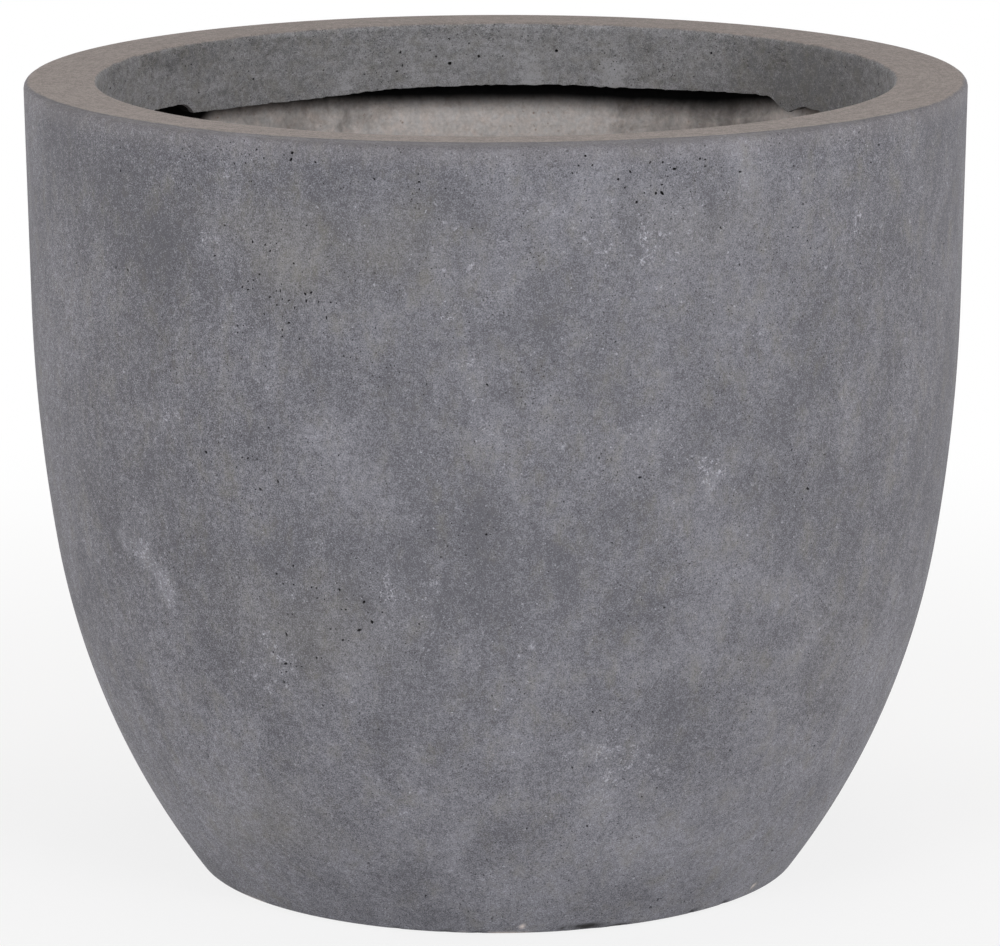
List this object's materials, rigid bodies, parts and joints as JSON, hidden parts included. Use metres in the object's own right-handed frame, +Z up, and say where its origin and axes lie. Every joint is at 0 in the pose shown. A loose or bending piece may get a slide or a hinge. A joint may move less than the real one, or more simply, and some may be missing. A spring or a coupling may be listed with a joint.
{
  "type": "floor planter",
  "caption": "Round fibreclay floor planter: deep rounded pot with a flat turned-in rim that drops inside the mouth, a raw lined inside and a drain hole closed by a pull-out rubber plug.",
  "frame": {"origin": "centre of the foot on the ground", "axes": "+Z up the pot's axis, -Y towards the pictured side"},
  "size_m": [0.4298, 0.4298, 0.366],
  "materials": {
    "face_coat": "matte",
    "raw_clay": "matte",
    "slurried_cloth": "matte",
    "plug_rubber": "matte"
  },
  "bodies": {
    "pot": {"face_coat": "face_coat", "wall_body": "raw_clay", "wall_cloth": "slurried_cloth", "rim_body": "raw_clay", "rim_cloth": "slurried_cloth", "floor_body": "raw_clay", "floor_cloth": "slurried_cloth", "corner_bead": "raw_clay"},
    "plug": {"drain_plug": "plug_rubber"}
  },
  "joints": [
    {"name": "plug_lift", "type": "slide", "parent": "pot", "child": "plug", "axis": [0, 0, 1], "range_m": [0, 0.4]}
  ]
}
